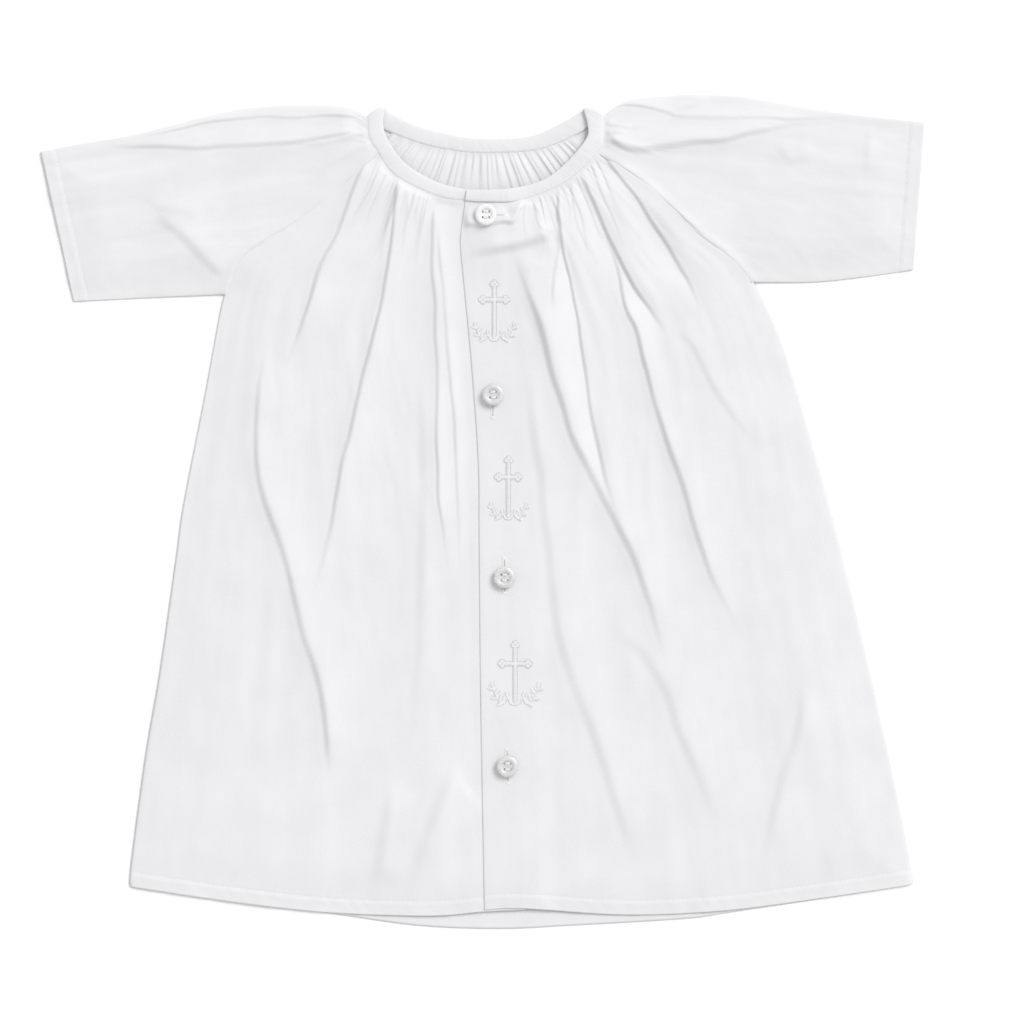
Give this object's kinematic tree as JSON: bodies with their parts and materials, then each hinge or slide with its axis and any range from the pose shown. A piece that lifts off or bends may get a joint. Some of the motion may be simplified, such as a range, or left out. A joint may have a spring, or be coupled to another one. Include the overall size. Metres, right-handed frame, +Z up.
{
  "type": "baby christening gown",
  "caption": "Baby gown laid flat: raglan sleeves, gathered neck in a narrow binding, lapped buttoned front and flared skirt to a narrow hem.",
  "frame": {"origin": "centre of the bounding box at its base, on the surface that the gown lies on", "axes": "+Z up from the surface, +X across from the cuff at the viewer's left to the cuff at the viewer's right, +Y from the hem to the neck"},
  "size_m": [0.4592, 0.4336, 0.01],
  "materials": {
    "white_cotton": "matt plain-weave cotton lawn",
    "cotton_binding": "matt cotton bias binding",
    "pearl_button": "polished, slightly translucent, pearly"
  },
  "bodies": {
    "root": {"back_panel": "white_cotton", "front_left": "white_cotton", "front_right": "white_cotton", "sleeve_left": "white_cotton", "sleeve_right": "white_cotton", "neck_binding": "cotton_binding", "button_1": "pearl_button", "button_2": "pearl_button", "button_3": "pearl_button", "button_4": "pearl_button"}
  },
  "joints": []
}
